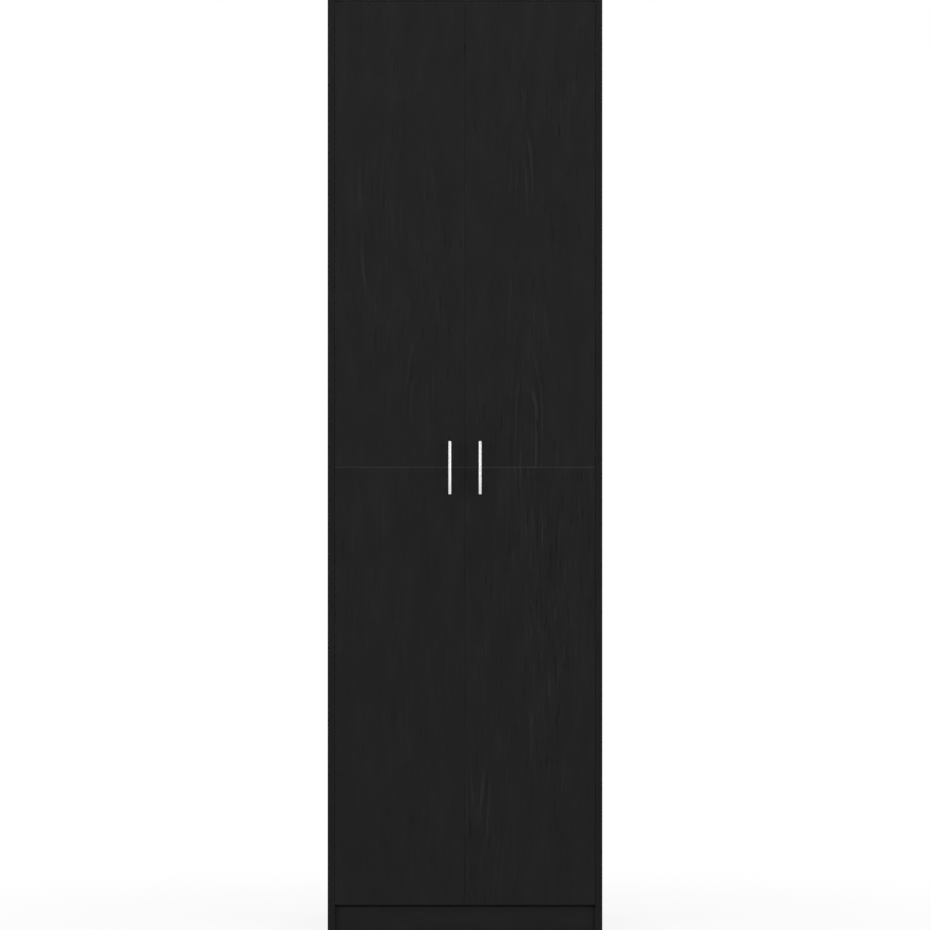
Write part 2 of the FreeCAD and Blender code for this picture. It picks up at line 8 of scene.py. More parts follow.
import bmesh
import bpy
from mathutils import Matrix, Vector

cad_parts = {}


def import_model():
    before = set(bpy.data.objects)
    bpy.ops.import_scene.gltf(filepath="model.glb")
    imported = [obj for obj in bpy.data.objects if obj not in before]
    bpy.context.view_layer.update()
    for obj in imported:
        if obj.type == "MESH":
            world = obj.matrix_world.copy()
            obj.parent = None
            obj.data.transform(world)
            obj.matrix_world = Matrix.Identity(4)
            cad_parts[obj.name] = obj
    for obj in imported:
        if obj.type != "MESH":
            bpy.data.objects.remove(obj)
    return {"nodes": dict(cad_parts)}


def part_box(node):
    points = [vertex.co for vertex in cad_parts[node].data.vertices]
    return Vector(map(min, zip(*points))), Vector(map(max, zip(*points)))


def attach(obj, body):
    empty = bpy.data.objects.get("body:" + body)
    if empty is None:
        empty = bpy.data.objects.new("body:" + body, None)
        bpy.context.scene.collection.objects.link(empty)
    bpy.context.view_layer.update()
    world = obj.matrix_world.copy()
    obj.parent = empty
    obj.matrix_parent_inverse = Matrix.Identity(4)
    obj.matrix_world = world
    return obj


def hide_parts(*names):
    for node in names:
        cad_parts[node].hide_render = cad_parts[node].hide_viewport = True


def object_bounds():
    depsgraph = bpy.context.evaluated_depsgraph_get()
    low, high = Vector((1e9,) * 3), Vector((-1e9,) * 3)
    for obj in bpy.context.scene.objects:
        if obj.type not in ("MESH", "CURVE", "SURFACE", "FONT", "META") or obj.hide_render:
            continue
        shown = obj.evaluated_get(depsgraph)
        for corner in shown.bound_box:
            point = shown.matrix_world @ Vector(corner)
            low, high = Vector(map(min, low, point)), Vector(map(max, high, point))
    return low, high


MM = 0.001
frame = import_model()
NODES = frame["nodes"]
CAD_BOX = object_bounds()


# ---------------------------------------------------------------- places read from the frame

SAME_POINT = 0.001 * MM
LINE_BOTTOM = (0.8 * MM, 1.4 * MM)  # between these depths lies only the V line's bottom


def joined_copy(node):
    """Working copy of a CAD node's mesh, with the corners that its faces share joined."""
    work = bmesh.new()
    work.from_mesh(NODES[node].data)
    bmesh.ops.remove_doubles(work, verts=work.verts, dist=SAME_POINT)
    return work


def solids_of(node):
    """Boxes of a node's separate solids: from the bottom up, from left to right, front to back."""
    work = joined_copy(node)
    left = set(work.verts)
    boxes = []
    while left:
        reached = [left.pop()]
        corners = []
        while reached:
            vertex = reached.pop()
            corners.append(vertex.co.copy())
            for edge in vertex.link_edges:
                other = edge.other_vert(vertex)
                if other in left:
                    left.remove(other)
                    reached.append(other)
        low = Vector([min(corner[axis] for corner in corners) for axis in range(3)])
        high = Vector([max(corner[axis] for corner in corners) for axis in range(3)])
        boxes.append((low, high))
    work.free()
    return sorted(boxes, key=lambda box: [round(box[0][axis], 5) for axis in (2, 0, 1)])


def line_height(node, shallow, deep):
    """Height of the V line across a door: only its bottom is that far into the door's face."""
    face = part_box(node)[0].y
    heights = [vertex.co.z for vertex in NODES[node].data.vertices
               if shallow < vertex.co.y - face < deep]
    return sum(heights) / len(heights)


LEFT_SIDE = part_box("left_side_panel")
RIGHT_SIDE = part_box("right_side_panel")
LEFT_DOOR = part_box("left_door_panel")
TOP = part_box("top_panel")
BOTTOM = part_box("bottom_panel")
HAT_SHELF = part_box("hat_shelf")
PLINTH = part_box("plinth_board")
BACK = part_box("back_panel_upper")
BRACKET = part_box("wall_bracket")
INNER_LEFT = LEFT_SIDE[1].x
INNER_RIGHT = RIGHT_SIDE[0].x
DOOR_FACE = LEFT_DOOR[0].y
DOOR_BACK = LEFT_DOOR[1].y
LINE_HEIGHT = line_height("left_door_panel", *LINE_BOTTOM)
BOARD = TOP[1].z - TOP[0].z
SIDES = (("left", -1), ("right", 1))


# ---------------------------------------------------------------- node graphs

AXIS_FACE = 0.9
TONE_STOPS = (0.3, 0.7)


class Graph:
    """One material's nodes, added from left to right."""

    def __init__(self, name, **sockets):
        self.material = bpy.data.materials.new(name)
        self.material.use_nodes = True
        self.tree = self.material.node_tree
        self.shader = self.tree.nodes["Principled BSDF"]
        for socket, value in sockets.items():
            self.shader.inputs[socket.replace("_", " ")].default_value = value
        self.point = self.add("TexCoord").outputs["Object"]

    def add(self, kind, inputs=None, **settings):
        node = self.tree.nodes.new("ShaderNode" + kind)
        for setting, value in settings.items():
            setattr(node, setting, value)
        for socket, value in (inputs or {}).items():
            self.feed(node.inputs[socket], value)
        return node

    def feed(self, socket, value):
        if isinstance(value, bpy.types.NodeSocket):
            self.tree.links.new(value, socket)
        else:
            socket.default_value = value

    def math(self, operation, *values):
        return self.add("Math", dict(enumerate(values)), operation=operation).outputs[0]

    def total(self, *values):
        result = values[0]
        for value in values[1:]:
            result = self.math("ADD", result, value)
        return result

    def product(self, *values):
        result = values[0]
        for value in values[1:]:
            result = self.math("MULTIPLY", result, value)
        return result

    def scaled(self, value, factor, offset=0.0):
        return self.math("MULTIPLY_ADD", value, factor, offset)

    def axes(self):
        split = self.add("SeparateXYZ", {0: self.point})
        return split.outputs[0], split.outputs[1], split.outputs[2]

    def bevelled(self):
        """1 on faces that look between two axes, such as the flanks of a V line, else 0."""
        normal = self.add("TexCoord").outputs["Normal"]
        size = self.add("VectorMath", {0: normal}, operation="ABSOLUTE").outputs[0]
        parts = self.add("SeparateXYZ", {0: size})
        widest = self.math("MAXIMUM", parts.outputs[0], parts.outputs[1])
        widest = self.math("MAXIMUM", widest, parts.outputs[2])
        return self.math("LESS_THAN", widest, AXIS_FACE)

    def vector(self, x, y, z):
        return self.add("CombineXYZ", {0: x, 1: y, 2: z}).outputs[0]

    def noise(self, vector, scale=1.0, detail=2.0, roughness=0.5):
        inputs = {"Vector": vector, "Scale": scale, "Detail": detail, "Roughness": roughness}
        return self.add("TexNoise", inputs).outputs["Fac"]

    def smooth(self, value, low, high, to_low=0.0, to_high=1.0):
        """Value taken smoothly from the range low..high to to_low..to_high."""
        inputs = {"Value": value, "From Min": low, "From Max": high,
                  "To Min": to_low, "To Max": to_high}
        node = self.add("MapRange", inputs, interpolation_type="SMOOTHSTEP")
        return node.outputs["Result"]

    def ramp(self, value, stops):
        """Colour ramp whose stops are (place, (red, green, blue))."""
        ramp = self.add("ValToRGB", {0: value})
        elements = ramp.color_ramp.elements
        for number, (place, colour) in enumerate(stops):
            element = elements[number] if number < 2 else elements.new(place)
            element.position = place
            element.color = (*colour, 1.0)
        return ramp.outputs["Color"]

    def mottled(self, fine, share, clouds, dark, light):
        """Colour between two tones by two noises; share is the part of the fine one."""
        mixed = self.total(self.scaled(fine, share), self.scaled(clouds, 1.0 - share))
        return self.ramp(mixed, tuple(zip(TONE_STOPS, (dark, light))))

    def bump(self, height, distance, strength):
        inputs = {"Height": height, "Distance": distance, "Strength": strength}
        return self.add("Bump", inputs).outputs["Normal"]

    def finish(self, colour, roughness, normal):
        for name, value in (("Base Color", colour), ("Roughness", roughness), ("Normal", normal)):
            self.feed(self.shader.inputs[name], value)
        return self.material


def toned(colour, factor):
    return tuple(factor * part for part in colour)


# ---------------------------------------------------------------- black ash print

ASH_TONES = (
    (0.0036, 0.0036, 0.0036),
    (0.0089, 0.0089, 0.0089),
    (0.0172, 0.0172, 0.0171),
)
# painted highlight: these factors make slanted faces lighter in colour, standing in for the light
# that bevels catch
EDGE_SHEEN = 3.6  # how many times lighter a bevel is than the print
LINE_SHEEN = 4.0  # the same in the V line across a door
LINE_REACH = 2.0 * MM
RING_PITCH = 12.0 * MM
PITH_SLOPE = 0.085  # how fast the pith leaves the board's face along the grain
PITH_WANDER = 0.050
RING_SWAY = 0.016
RING_RIPPLE = 0.005
RING_REACH = 0.055  # rings fade out that far beside the pith
FIBRE_DRIFT = 0.05
PRINT_STEP = 4.3  # from a door's upper print number to its lower one
PRINT_OFFSET = 1.91  # how far along the grain one print number shifts the noise
PORE_RELIEF = 0.07 * MM

# noise cells to the metre across and along the grain, detail and roughness
GRAIN = {
    "drift": (5.0, 1.4, 1.0, 0.5),
    "breaks": (45.0, 5.0, 2.0, 0.5),
    "sway": (15.0, 2.0, 1.0, 0.5),
    "ripple": (150.0, 9.0, 1.0, 0.5),
    "fibres": (420.0, 12.0, 3.0, 0.55),
    "clusters": (13.0, 2.6, 2.0, 0.5),
    "long_fibres": (210.0, 13.0, 2.0, 0.6),
    "pores": (1900.0, 55.0, 1.0, 0.5),
    "clouds": (26.0, 8.0, 3.0, 0.6),
}

# how far each part of the figure takes the tone from the middle one, lighter or darker
MID_SHADE = 0.50
SHADES = {
    "late_wood": -0.40,
    "ring_edges": 0.90,
    "light_streaks": 0.13,
    "dark_streaks": -0.12,
    "long_light": 0.48,
    "long_dark": -1.15,
    "open_pores": -0.20,
}
CLOUD_SHADE = 0.56


def grain_noise(graph, layer, across, along, own):
    """Noise drawn out along the grain; own is the print's number and sets each board apart."""
    cells_across, cells_along, detail, roughness = GRAIN[layer]
    place = graph.vector(graph.scaled(across, cells_across), own, graph.scaled(along, cells_along))
    return graph.noise(place, 1.0, detail, roughness)


def growth_rings(graph, bent, along, own, figures):
    """Ring tone, a light line at each ring's edge, and where the flat-sawn patches lie.

    The board cuts the rings beside the pith, so they nest into long pointed arches.
    figures holds (place across, height, half length, strength, tip height) of each patch.
    """
    broken = graph.smooth(grain_noise(graph, "breaks", bent, along, own), 0.40, 0.56)
    depth_at = graph.vector(own, 3.1, graph.scaled(along, 2.4))
    wander = graph.scaled(graph.noise(depth_at, 1.0, 1.0), PITH_WANDER, -PITH_WANDER / 2)
    sway = graph.scaled(grain_noise(graph, "sway", bent, along, own), RING_SWAY)
    ripple = graph.scaled(grain_noise(graph, "ripple", bent, along, own), RING_RIPPLE)
    uneven = graph.total(sway, ripple)
    late_wood, edges, patches = 0.0, 0.0, 0.0
    for place, height, half_length, strength, tip in figures:
        off_pith = graph.scaled(bent, 1.0, -place)
        depth = graph.total(graph.scaled(along, PITH_SLOPE, -PITH_SLOPE * tip), wander)
        squares = graph.total(graph.product(off_pith, off_pith), graph.product(depth, depth))
        radius = graph.math("SQRT", squares)
        rings = graph.scaled(graph.total(radius, uneven), 1 / RING_PITCH)
        phase = graph.math("FRACT", rings)
        year = graph.add("TexWhiteNoise", {"W": graph.math("FLOOR", rings)},
                         noise_dimensions="1D")
        good_year = graph.scaled(year.outputs["Value"], 0.8, 0.2)
        sideways = graph.math("ABSOLUTE", off_pith)
        steep = graph.smooth(graph.math("DIVIDE", sideways, radius), 0.25, 0.80, 0.12, 1.0)
        beside = graph.smooth(sideways, 0.0, RING_REACH, strength, 0.06)
        away = graph.math("ABSOLUTE", graph.scaled(along, 1.0, -height))
        within = graph.smooth(away, 0.6 * half_length, 1.2 * half_length, 1.0, 0.10)
        patch = graph.product(beside, within)
        shown = graph.product(patch, graph.product(steep, good_year, broken))
        late = graph.smooth(phase, 0.30, 0.92)
        edge = graph.product(graph.smooth(phase, 0.0, 0.14),
                             graph.smooth(phase, 0.20, 0.50, 1.0, 0.0))
        late_wood = graph.math("MAXIMUM", late_wood, graph.product(late, shown))
        edges = graph.math("MAXIMUM", edges, graph.product(edge, shown))
        patches = graph.math("MAXIMUM", patches, patch)
    return late_wood, edges, patches


def ash_decor(name, grain, seed, tone, figures, split=None):
    """Black ash print with embossed pores.

    split is (height, depth, strength): the print starts anew below that height in front of
    that depth, and its streaks have that strength there.
    """
    graph = Graph(name, Specular_IOR_Level=0.10)
    x, y, z = graph.axes()
    if grain == "Z":
        across, height = graph.total(x, y), z
    else:
        across, height = graph.total(y, z), x
    own = seed
    if split is not None:
        second_print = graph.product(graph.math("LESS_THAN", z, split[0]),
                                     graph.math("LESS_THAN", y, split[1]))
        own = graph.scaled(second_print, PRINT_STEP, seed)
    along = graph.total(height, graph.product(own, PRINT_OFFSET))
    drift = grain_noise(graph, "drift", across, along, own)
    bent = graph.total(across, graph.scaled(drift, FIBRE_DRIFT, -FIBRE_DRIFT / 2))
    late_wood, ring_edges, patches = growth_rings(graph, bent, height, own, figures)

    # fibres: fine light and dark streaks, and longer ones that come in clusters
    fibres = grain_noise(graph, "fibres", bent, along, own)
    dark_streaks = graph.smooth(fibres, 0.34, 0.46, 1.0, 0.0)
    light_streaks = graph.smooth(fibres, 0.60, 0.74)
    clusters = grain_noise(graph, "clusters", bent, along, own)
    cluster = graph.smooth(clusters, 0.46, 0.66, 0.20, 0.95)
    cluster = graph.math("MAXIMUM", cluster, graph.scaled(patches, 1.5))
    if split is not None:
        cluster = graph.product(cluster, graph.scaled(second_print, split[2] - 1.0, 1.0))
    long_fibres = grain_noise(graph, "long_fibres", bent, along, own)
    long_light = graph.product(graph.smooth(long_fibres, 0.60, 0.74), cluster)
    long_dark = graph.product(graph.smooth(long_fibres, 0.27, 0.39, 1.0, 0.0), cluster)

    # pores: short open dashes, closest in the early wood
    pores = graph.smooth(grain_noise(graph, "pores", bent, along, own), 0.60, 0.72)
    open_pores = graph.product(pores, graph.smooth(late_wood, 0.0, 1.0, 1.0, 0.45))

    clouds = grain_noise(graph, "clouds", bent, along, own)
    parts = {
        "late_wood": late_wood, "ring_edges": ring_edges,
        "light_streaks": light_streaks, "dark_streaks": dark_streaks,
        "long_light": long_light, "long_dark": long_dark, "open_pores": open_pores,
    }
    shade = graph.total(
        MID_SHADE,
        *[graph.scaled(parts[part], weight) for part, weight in SHADES.items()],
        graph.scaled(clouds, CLOUD_SHADE, -CLOUD_SHADE / 2))
    dark, mid, light = [toned(colour, tone) for colour in ASH_TONES]
    printed = graph.ramp(shade, ((0.0, dark), (0.5, mid), (1.0, light)))

    # painted highlight: bevels are made lighter in colour than the print, as if they caught more
    # light, and the V line a little more still
    slanted = graph.bevelled()
    painted_sheen = graph.scaled(slanted, EDGE_SHEEN - 1.0, 1.0)
    if split is not None:
        from_line = graph.math("ABSOLUTE", graph.scaled(z, 1.0, -split[0]))
        in_line = graph.product(slanted, graph.math("LESS_THAN", from_line, LINE_REACH))
        painted_sheen = graph.total(painted_sheen, graph.scaled(in_line, LINE_SHEEN - EDGE_SHEEN))
    colour = graph.add("VectorMath", {0: printed, "Scale": painted_sheen}, operation="SCALE").outputs[0]

    roughness = graph.total(graph.scaled(open_pores, 0.14, 0.48), graph.scaled(fibres, 0.10))
    height_map = graph.total(
        graph.scaled(open_pores, -1.0, 1.0),
        graph.scaled(dark_streaks, -0.45),
        graph.scaled(late_wood, -0.25))
    return graph.finish(colour, roughness, graph.bump(height_map, PORE_RELIEF, 0.7))


# ---------------------------------------------------------------- other materials

FOIL = 0.3 * MM
FOIL_TONES = ((0.3, (0.006, 0.006, 0.006)), (0.7, (0.015, 0.015, 0.015)))
BROWN_TONES = (
    (0.15, (0.075, 0.042, 0.022)), (0.5, (0.150, 0.087, 0.046)), (0.85, (0.235, 0.148, 0.084)))
CHIP_TONES = (
    (0.2, (0.085, 0.052, 0.028)), (0.5, (0.215, 0.142, 0.080)), (0.85, (0.370, 0.262, 0.160)))
BRUSH_LINES = 2600.0  # noise cells to the metre across the lines
BRUSH_STRETCH = {"X": (0.03, 1.0, 1.0), "Z": (1.0, 1.0, 0.03)}


def hardboard(name):
    """Wood-fibre back: black foil with a faint grain in front, brown and flecked behind."""
    graph = Graph(name, Specular_IOR_Level=0.2)
    x, y, z = graph.axes()
    fine = graph.noise(graph.point, 900.0, 4.0, 0.7)
    flecks = graph.smooth(graph.noise(graph.point, 260.0, 3.0, 0.6), 0.60, 0.72)
    clouds = graph.noise(graph.point, 7.0, 3.0)
    shade = graph.total(
        graph.scaled(fine, 0.5), graph.scaled(clouds, 0.5), graph.scaled(flecks, -0.35))
    grain_at = graph.vector(graph.scaled(x, 300.0), y, graph.scaled(z, 9.0))
    foil_grain = graph.noise(grain_at, 1.0, 3.0, 0.6)
    colour = graph.add("Mix", data_type="RGBA")
    graph.feed(colour.inputs["Factor"], graph.math("GREATER_THAN", y, BACK[0].y + FOIL))
    graph.feed(colour.inputs["A"], graph.ramp(foil_grain, FOIL_TONES))
    graph.feed(colour.inputs["B"], graph.ramp(shade, BROWN_TONES))
    roughness = graph.scaled(fine, 0.25, 0.42)
    return graph.finish(colour.outputs["Result"], roughness, graph.bump(fine, 0.08 * MM, 0.5))


def brushed_metal(name, colour, roughness, along="Z", depth=0.012 * MM, darkest=0.90):
    """Bare metal with fine lines along one axis and slight clouds in its gloss."""
    graph = Graph(name, Metallic=1.0)
    stretched = [graph.scaled(axis, part)
                 for axis, part in zip(graph.axes(), BRUSH_STRETCH[along])]
    lines = graph.noise(graph.vector(*stretched), BRUSH_LINES, 2.0, 0.6)
    clouds = graph.noise(graph.point, 45.0, 2.0)
    tint = graph.mottled(lines, 0.6, clouds, toned(colour, darkest), colour)
    gloss = graph.total(graph.scaled(lines, 0.14, roughness - 0.09), graph.scaled(clouds, 0.06))
    return graph.finish(tint, gloss, graph.bump(lines, depth, 0.6))


def cast_metal(name, colour, roughness):
    """Plated die casting: a fine pebbled skin."""
    graph = Graph(name, Metallic=1.0)
    skin_noise = graph.noise(graph.point, 1800.0, 3.0, 0.6)
    clouds = graph.noise(graph.point, 120.0, 2.0)
    tint = graph.mottled(skin_noise, 0.4, clouds, toned(colour, 0.78), colour)
    gloss = graph.scaled(skin_noise, 0.2, roughness - 0.1)
    return graph.finish(tint, gloss, graph.bump(skin_noise, 0.02 * MM, 0.6))


def moulded(name, colour, roughness, texture):
    """Plastic or powder coat with a fine leathery skin."""
    graph = Graph(name)
    skin_noise = graph.noise(graph.point, texture, 2.0, 0.5)
    clouds = graph.noise(graph.point, 60.0, 2.0)
    tint = graph.mottled(skin_noise, 0.5, clouds, toned(colour, 0.75), colour)
    gloss = graph.scaled(skin_noise, 0.2, roughness - 0.1)
    return graph.finish(tint, gloss, graph.bump(skin_noise, 0.04 * MM, 0.7))


def felt(name, colour):
    """Pressed fibres: dull, with a soft fuzz."""
    graph = Graph(name, Specular_IOR_Level=0.15, Sheen_Weight=0.4, Sheen_Roughness=0.6)
    fuzz = graph.noise(graph.point, 3200.0, 4.0, 0.75)
    tufts = graph.noise(graph.point, 700.0, 2.0)
    tint = graph.mottled(fuzz, 0.6, tufts, toned(colour, 0.5), toned(colour, 1.6))
    return graph.finish(tint, graph.scaled(fuzz, 0.1, 0.85), graph.bump(fuzz, 0.25 * MM, 0.8))


def chipboard(name):
    """Raw edge of a board: pressed chips, light and dark, with small pits between them."""
    graph = Graph(name, Specular_IOR_Level=0.2)
    chips = graph.add("TexVoronoi", {"Vector": graph.point, "Scale": 420.0}, feature="F1")
    chip_tone = graph.add("SeparateColor", {0: chips.outputs["Color"]}).outputs[0]
    fine = graph.noise(graph.point, 1500.0, 3.0, 0.7)
    shade = graph.total(graph.scaled(chip_tone, 0.6), graph.scaled(fine, 0.4))
    colour = graph.ramp(shade, CHIP_TONES)
    return graph.finish(colour, graph.scaled(fine, 0.1, 0.80), graph.bump(shade, 0.25 * MM, 0.8))


NICKEL = brushed_metal(
    "satin_nickel", (0.55, 0.547, 0.543), 0.34, depth=0.002 * MM, darkest=0.97)
BRIGHT_STEEL = brushed_metal("bright_steel", (0.66, 0.66, 0.65), 0.30)
BLACK_STEEL = brushed_metal("blackened_steel", (0.10, 0.10, 0.10), 0.38)
PLATED_TUBE = brushed_metal("plated_tube", (0.62, 0.62, 0.63), 0.26, "X", depth=0.004 * MM)
CAST_ZINC = cast_metal("cast_zinc", (0.58, 0.57, 0.55), 0.42)
BLACK_PLASTIC = moulded("black_plastic", (0.018, 0.018, 0.018), 0.5, 1400.0)
BLACK_POWDER = moulded("black_powder_coat", (0.020, 0.020, 0.020), 0.45, 2400.0)
BLACK_FELT = felt("black_felt", (0.012, 0.012, 0.012))
RAW_BACK = hardboard("hardboard")
RAW_EDGE = chipboard("raw_chipboard")


# ---------------------------------------------------------------- materials of the CAD nodes

DOOR_TONE = 0.98
SIDE_TONE = 0.78
SIDE_PRINTS = {"left": 6.0, "right": 16.0}
FIRST_BOARD_PRINT = 20.0
BOARD_PRINT_STEP = 3

# each door's print number, the strength of its streaks below the line, and its flat-sawn
# patches: place across, height, half length, strength, tip height
DOOR_PRINTS = {
    "left": (2.0, 0.45, (
        (-0.205, 1.42, 0.26, 0.62, 1.80),
        (-0.105, 1.45, 0.30, 0.52, 1.05),
        (-0.080, 0.55, 0.20, 0.16, 1.10))),
    "right": (7.0, 1.0, (
        (0.125, 1.80, 0.20, 0.72, 1.50),
        (0.136, 1.22, 0.26, 1.00, 0.98),
        (0.176, 0.66, 0.34, 1.00, 1.15),
        (0.028, 0.20, 0.16, 0.60, 0.42))),
}
# the same for a side panel, counted from its outer face, and for the boards that lie across
SIDE_FIGURES = ((0.03, 1.45, 0.6, 0.7, 0.7), (0.16, 0.55, 0.5, 0.5, 1.2))
BOARD_FIGURES = ((0.25, 0.0, 0.4, 0.5, 0.6),)

# tone and slot of the boards that lie across
BOARDS = {
    "top_panel": (0.95, "inner_decor"),
    "bottom_panel": (1.3, "inner_decor"),
    # painted light: the bottom panel is lighter than the other boards to lift the shade in the
    # slot under the doors
    "hat_shelf": (1.0, "inner_decor"),
    "adjustable_shelf": (1.0, "inner_decor"),
    "plinth_board": (1.0, "plinth_decor"),
}
NODE_MATERIALS = {
    "back_panel_lower": RAW_BACK,
    "back_panel_upper": RAW_BACK,
    "back_joiner": BLACK_PLASTIC,
    "hanging_rail": PLATED_TUBE,
    "rail_sockets": BLACK_PLASTIC,
    "shelf_pegs": BRIGHT_STEEL,
    "floor_glides": BLACK_PLASTIC,
    "wall_bracket": BLACK_POWDER,
}
PAIRED_NODE_MATERIALS = {
    "side_barrels": CAST_ZINC,
    "door_barrels": CAST_ZINC,
    "cross_links": BLACK_STEEL,
    "door_bumpers": BLACK_FELT,
    "handle_bar": NICKEL,
    "handle_posts": NICKEL,
}


def dress(node, material):
    """Give a CAD node its material."""
    data = NODES[node].data
    data.materials.clear()
    data.materials.append(material)


def moved(figures, across):
    """The same patches, further across the grain."""
    return tuple((place + across, *rest) for place, *rest in figures)


def dress_frame():
    """Materials of all CAD nodes; boards that a piece stands for hand theirs on to it."""
    for side, sign in SIDES:
        seed, strength_below, figures = DOOR_PRINTS[side]
        split = (LINE_HEIGHT, (DOOR_FACE + DOOR_BACK) / 2, strength_below)
        door_ash = ash_decor(
            f"{side}_door_ash", "Z", seed, DOOR_TONE, moved(figures, DOOR_FACE), split)
        dress(f"{side}_door_panel", door_ash)
        outer = (RIGHT_SIDE[1] if sign > 0 else LEFT_SIDE[0]).x
        side_ash = ash_decor(
            f"{side}_side_ash", "Z", SIDE_PRINTS[side], SIDE_TONE, moved(SIDE_FIGURES, outer))
        dress(f"{side}_side_panel", side_ash)
        for node, material in PAIRED_NODE_MATERIALS.items():
            dress(f"{side}_{node}", material)
    for number, (node, (tone, _)) in enumerate(BOARDS.items()):
        seed = FIRST_BOARD_PRINT + BOARD_PRINT_STEP * number
        dress(node, ash_decor(f"{node}_ash", "X", seed, tone, BOARD_FIGURES))
    for node, material in NODE_MATERIALS.items():
        dress(node, material)


dress_frame()


# ---------------------------------------------------------------- mesh helpers

CAD_SHADING = ("custom_normal", "sharp_edge", "sharp_face")


def mesh_of(work, name):
    """Mesh from a bmesh, which is used up."""
    data = bpy.data.meshes.new(name)
    work.to_mesh(data)
    work.free()
    return data


def forget_cad_shading(data):
    """Take away the normals and sharp marks that a copy brings along from the CAD mesh."""
    for layer in CAD_SHADING:
        if layer in data.attributes:
            data.attributes.remove(data.attributes[layer])


def new_piece(name, work, material, body, sharp=35):
    """Piece from a bmesh, with its material and body."""
    bmesh.ops.recalc_face_normals(work, faces=work.faces)
    return place_piece(name, mesh_of(work, name), material, body, sharp)


def place_piece(name, data, material, body, sharp):
    """Piece from a mesh; edges that turn by more than sharp degrees stay sharp."""
    for polygon in data.polygons:
        polygon.use_smooth = True
    data.set_sharp_from_angle(angle=math.radians(sharp))
    data.materials.clear()
    data.materials.append(material)
    item = bpy.data.objects.new(name, data)
    bpy.context.scene.collection.objects.link(item)
    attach(item, body)
    return item


def axes_about(axis):
    """The axis and two directions square to it."""
    out = Vector(axis).normalized()
    helper = Vector((0.0, 0.0, 1.0)) if abs(out.z) < 0.5 else Vector((1.0, 0.0, 0.0))
    right = helper.cross(out).normalized()
    return out, right, out.cross(right)


def ring(work, place, axis, along, radius, segments, bulge=2.0):
    """Vertices round an axis; a bulge of 2 is a circle, and more comes nearer to a square."""
    out, right, up = axes_about(axis)
    corners = []
    for number in range(segments):
        angle = 2 * math.pi * number / segments
        cosine, sine = math.cos(angle), math.sin(angle)
        reach = radius / (abs(cosine) ** bulge + abs(sine) ** bulge) ** (1 / bulge)
        corners.append(work.verts.new(
            Vector(place) + along * out + reach * cosine * right + reach * sine * up))
    return corners


def walls(work, lower, upper):
    """Faces between two loops of as many vertices."""
    for number in range(len(lower)):
        after = (number + 1) % len(lower)
        work.faces.new((lower[number], lower[after], upper[after], upper[number]))


def skin(work, rings):
    """Faces between neighbouring rings, and one over the first."""
    for lower, upper in zip(rings, rings[1:]):
        walls(work, lower, upper)
    work.faces.new(rings[0][::-1])


def turned(work, place, axis, profile, segments=32, bulge=2.0):
    """Closed solid round an axis from (distance along it, radius) pairs, each radius above 0."""
    rings = [ring(work, place, axis, along, radius, segments, bulge) for along, radius in profile]
    skin(work, rings)
    work.faces.new(rings[-1])


def fill(work, *loops):
    """Flat face between loops of vertices."""
    edges = []
    for loop in loops:
        for first, second in zip(loop, loop[1:] + loop[:1]):
            edges.append(work.edges.get((first, second)) or work.edges.new((first, second)))
    bmesh.ops.triangle_fill(work, use_beauty=True, use_dissolve=False, edges=edges)


# parts of the head's height and radius
PAN_HEAD = ((0.0, 1.0), (0.30, 1.0), (0.62, 0.93), (0.86, 0.76), (1.0, 0.56))
# the cross at its mouth and at its foot: part of the height, then arm and waist as parts of
# the radius
CROSS_RECESS = ((1.0, 0.46, 0.11), (0.35, 0.24, 0.06))


def cross_outline(arm, waist):
    return ((arm, -waist), (arm, waist), (waist, waist), (waist, arm), (-waist, arm),
            (-waist, waist), (-arm, waist), (-arm, -waist), (-waist, -waist), (-waist, -arm),
            (waist, -arm), (waist, -waist))


def screw_head(work, place, axis, radius, height):
    """Pan head with a cross recess, its seat at place."""
    rings = [ring(work, place, axis, along * height, part * radius, 32)
             for along, part in PAN_HEAD]
    skin(work, rings)
    out, right, up = axes_about(axis)
    crosses = []
    for depth, arm, waist in CROSS_RECESS:
        crosses.append([
            work.verts.new(Vector(place) + depth * height * out + across * right + over * up)
            for across, over in cross_outline(arm * radius, waist * radius)])
    mouth, foot = crosses
    walls(work, mouth, foot)
    fill(work, rings[-1], mouth)
    fill(work, foot)


def rounded_rod(length, radius, rounding, steps=4):
    """Profile of a rod with rounded rims."""
    near = []
    for step in range(steps, -1, -1):
        angle = math.pi / 2 * step / steps
        near.append((rounding * (1 - math.sin(angle)), radius - rounding * (1 - math.cos(angle))))
    far = [(length - along, across) for along, across in reversed(near)]
    return near + far


# ---------------------------------------------------------------- handles

HANDLE_SCREW = (4.0 * MM, 2.2 * MM)  # radius and height of the head
HANDLE_ROUND = 2.0 * MM


def handles():
    """Bars with rounded ends, and the screws on the doors' backs that hold their posts."""
    for side, _ in SIDES:
        low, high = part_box(f"{side}_handle_bar")
        centre = (low + high) / 2
        work = bmesh.new()
        profile = rounded_rod(high.z - low.z, (high.x - low.x) / 2, HANDLE_ROUND)
        turned(work, (centre.x, centre.y, low.z), (0, 0, 1), profile, segments=48)
        bar = new_piece(f"{side}_handle_rod", work, NICKEL, f"{side}_door", 60)
        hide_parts(f"{side}_handle_bar")
        work = bmesh.new()
        for post_low, post_high in solids_of(f"{side}_handle_posts"):
            post = (post_low + post_high) / 2
            screw_head(work, (post.x, DOOR_BACK, post.z), (0, 1, 0), *HANDLE_SCREW)
        new_piece(f"{side}_handle_screws", work, BRIGHT_STEEL, f"{side}_door")


# ---------------------------------------------------------------- fittings inside

